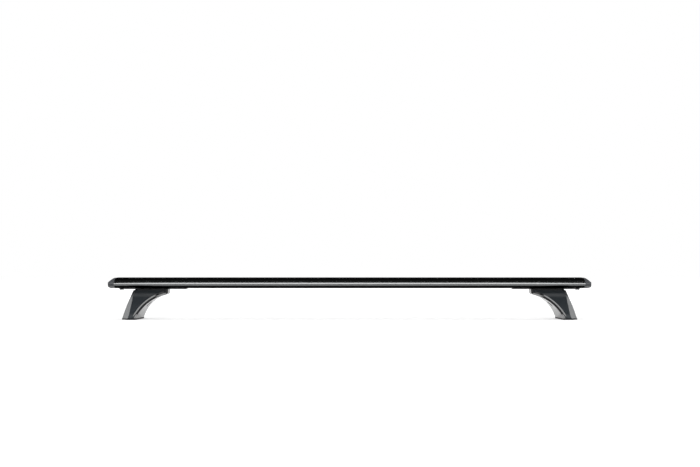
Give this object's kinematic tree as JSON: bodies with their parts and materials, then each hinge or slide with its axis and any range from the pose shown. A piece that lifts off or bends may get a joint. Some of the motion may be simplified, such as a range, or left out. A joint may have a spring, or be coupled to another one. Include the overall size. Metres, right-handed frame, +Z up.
{
  "type": "roof rack crossbar",
  "caption": "Aero roof rack crossbar on flared legs that slide along its channel and clamp from below, with rubber strips, pull-off end caps, leg covers and roof bolt pads.",
  "frame": {"origin": "on the roof plane under the rubber pads, midway between the legs and on the line of the channels", "axes": "+X along the bar, +Y towards its blunt leading edge, +Z up; the roof bolts leave along -Z"},
  "size_m": [1.26, 0.1098, 0.1101],
  "materials": {
    "bar_metal": "black anodised, satin",
    "strip_rubber": "matt extruded rubber",
    "spacer_plastic": "satin extruded plastic",
    "cap_plastic": "fine matt moulding",
    "bracket_gloss": "gloss black powder coat",
    "cover_plastic": "matt moulding with a slight sheen",
    "pad_rubber": "matt moulded rubber",
    "sleeve_steel": "bright zinc",
    "nut_steel": "zinc plated",
    "screw_steel": "dark zinc"
  },
  "bodies": {
    "bar": {"bar_extrusion": "bar_metal", "top_strip": "strip_rubber", "underside_filler": "strip_rubber", "right_spacer_strip": "spacer_plastic", "left_spacer_strip": "spacer_plastic"},
    "right_leg": {"right_leg_bracket": "bracket_gloss", "right_base_pad": "pad_rubber", "right_roof_bolt_sleeve": "sleeve_steel", "right_channel_nut": "nut_steel", "right_clamp_screw": "screw_steel", "right_lock_washer": "screw_steel"},
    "right_cover": {"right_leg_cover": "cover_plastic"},
    "right_cap": {"right_end_cap": "cap_plastic"},
    "left_leg": {"left_leg_bracket": "bracket_gloss", "left_base_pad": "pad_rubber", "left_roof_bolt_sleeve": "sleeve_steel", "left_channel_nut": "nut_steel", "left_clamp_screw": "screw_steel", "left_lock_washer": "screw_steel"},
    "left_cover": {"left_leg_cover": "cover_plastic"},
    "left_cap": {"left_end_cap": "cap_plastic"}
  },
  "joints": [
    {"name": "right_leg_slide", "type": "slide", "parent": "bar", "child": "right_leg", "axis": [1, 0, 0], "range_m": [-0.04, 0.005]},
    {"name": "right_cover_pull", "type": "slide", "parent": "right_leg", "child": "right_cover", "axis": [1, 0, 0], "range_m": [0, 0.06]},
    {"name": "right_cap_pull", "type": "slide", "parent": "bar", "child": "right_cap", "axis": [1, 0, 0], "range_m": [0, 0.045]},
    {"name": "left_leg_slide", "type": "slide", "parent": "bar", "child": "left_leg", "axis": [-1, 0, 0], "range_m": [-0.04, 0.005]},
    {"name": "left_cover_pull", "type": "slide", "parent": "left_leg", "child": "left_cover", "axis": [-1, 0, 0], "range_m": [0, 0.06]},
    {"name": "left_cap_pull", "type": "slide", "parent": "bar", "child": "left_cap", "axis": [-1, 0, 0], "range_m": [0, 0.045]}
  ]
}
